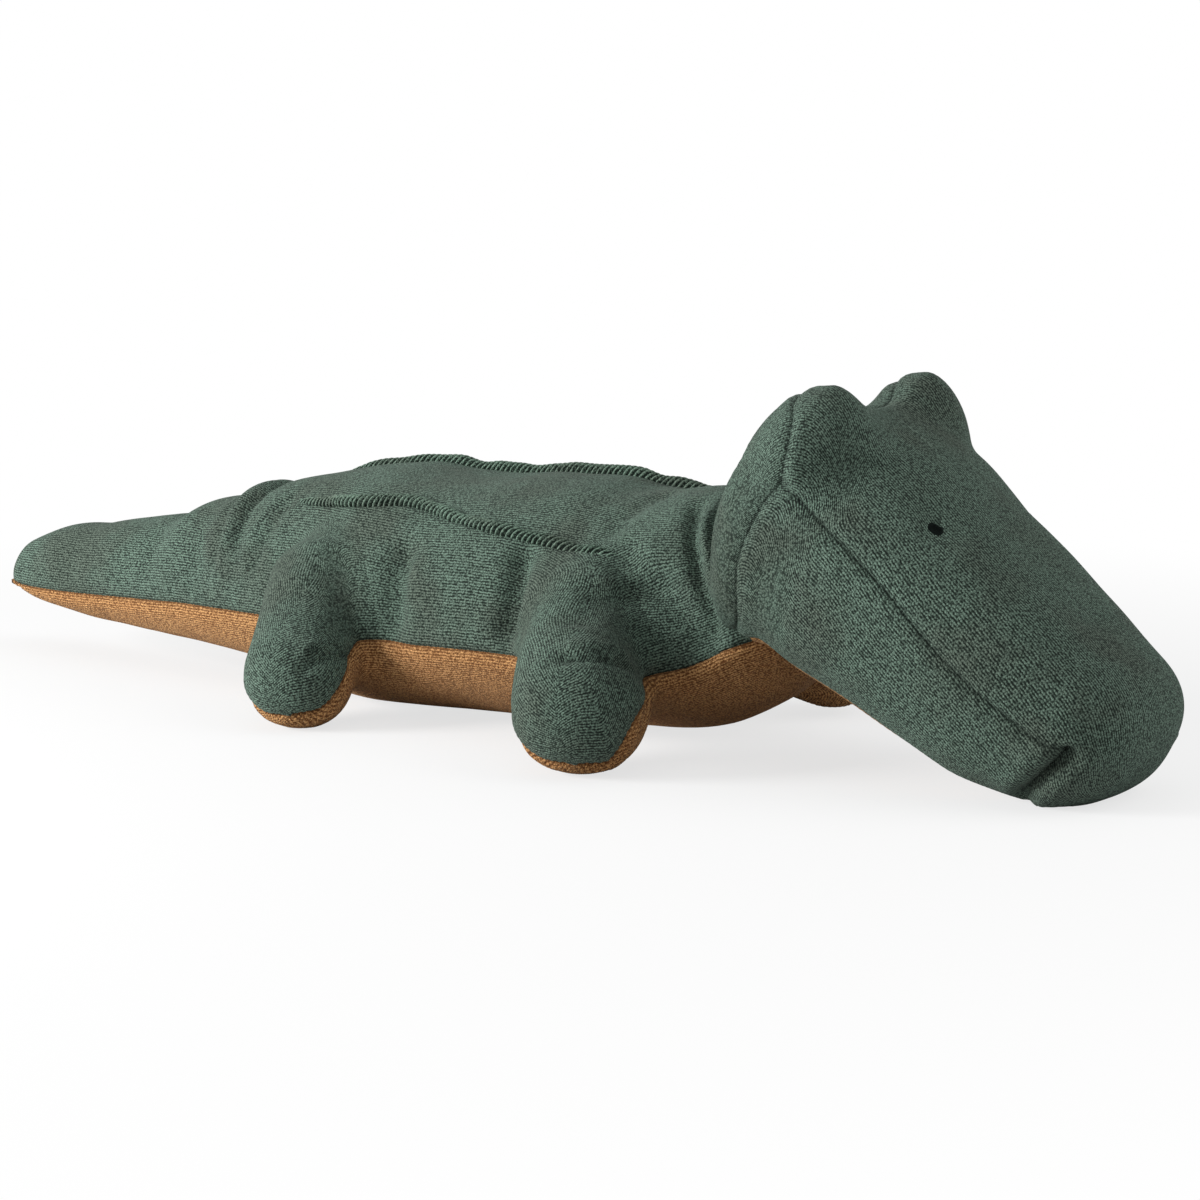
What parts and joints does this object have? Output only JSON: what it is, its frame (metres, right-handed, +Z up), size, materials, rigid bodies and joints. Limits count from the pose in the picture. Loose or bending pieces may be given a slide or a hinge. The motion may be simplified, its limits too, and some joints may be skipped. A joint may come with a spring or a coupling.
{
  "type": "plush crocodile toy",
  "caption": "Stuffed crocodile lying on its belly: terry cloth body, long head with raised brows, splayed legs and a tapering tail.",
  "frame": {"origin": "on the resting surface, under the middle of the toy's length and width", "axes": "+X towards the nose, +Y towards the toy's left side, +Z up"},
  "size_m": [0.6498, 0.2174, 0.1544],
  "materials": {
    "green_terry": "dark grey-green looped terry cloth, matt",
    "tan_terry": "caramel looped terry cloth, matt",
    "filling": "loose white polyester fibre filling",
    "eye_thread": "near-black embroidery thread"
  },
  "bodies": {
    "body": {"body_filling": "filling", "back_panel": "green_terry", "left_flank_panel": "green_terry", "right_flank_panel": "green_terry", "belly_panel": "tan_terry", "left_back_tuck": "green_terry", "right_back_tuck": "green_terry"},
    "neck": {"neck_filling": "filling", "neck_cover": "green_terry"},
    "head": {"head_filling": "filling", "head_back_gusset": "green_terry", "crown_panel": "green_terry", "left_cheek_panel": "green_terry", "right_cheek_panel": "green_terry", "chin_panel": "tan_terry", "left_eye": "eye_thread", "right_eye": "eye_thread"},
    "tail": {"tail_filling": "filling", "tail_upper_panel": "green_terry", "tail_under_panel": "tan_terry"},
    "left_front_leg": {"left_front_leg_filling": "filling", "left_front_leg_panel": "green_terry", "left_front_sole_panel": "tan_terry"},
    "right_front_leg": {"right_front_leg_filling": "filling", "right_front_leg_panel": "green_terry", "right_front_sole_panel": "tan_terry"},
    "left_rear_leg": {"left_rear_leg_filling": "filling", "left_rear_leg_panel": "green_terry", "left_rear_sole_panel": "tan_terry"},
    "right_rear_leg": {"right_rear_leg_filling": "filling", "right_rear_leg_panel": "green_terry", "right_rear_sole_panel": "tan_terry"}
  },
  "joints": [
    {"name": "neck_turn", "type": "hinge", "parent": "body", "child": "neck", "pos_m": [0.158, 0, 0.08], "axis": [0, 0, 1], "range_deg": [-14, 14], "stiffness_Nm_per_rad": 0.6},
    {"name": "head_nod", "type": "hinge", "parent": "neck", "child": "head", "pos_m": [0.158, 0, 0.08], "axis": [0, -1, 0], "range_deg": [-4, 12], "stiffness_Nm_per_rad": 3},
    {"name": "tail_swing", "type": "hinge", "parent": "body", "child": "tail", "pos_m": [-0.078, 0, 0.052], "axis": [0, 0, 1], "range_deg": [-20, 20], "stiffness_Nm_per_rad": 0.3},
    {"name": "left_front_leg_lift", "type": "hinge", "parent": "body", "child": "left_front_leg", "pos_m": [0.1158, 0.0554, 0.066], "axis": [1, 0, 0], "range_deg": [-4, 25], "stiffness_Nm_per_rad": 0.2},
    {"name": "right_front_leg_lift", "type": "hinge", "parent": "body", "child": "right_front_leg", "pos_m": [0.1158, -0.0554, 0.066], "axis": [-1, 0, 0], "range_deg": [-4, 25], "stiffness_Nm_per_rad": 0.2},
    {"name": "left_rear_leg_lift", "type": "hinge", "parent": "body", "child": "left_rear_leg", "pos_m": [-0.0381, 0.0524, 0.066], "axis": [1, 0, 0], "range_deg": [-4, 25], "stiffness_Nm_per_rad": 0.2},
    {"name": "right_rear_leg_lift", "type": "hinge", "parent": "body", "child": "right_rear_leg", "pos_m": [-0.0381, -0.0524, 0.066], "axis": [-1, 0, 0], "range_deg": [-4, 25], "stiffness_Nm_per_rad": 0.2}
  ]
}
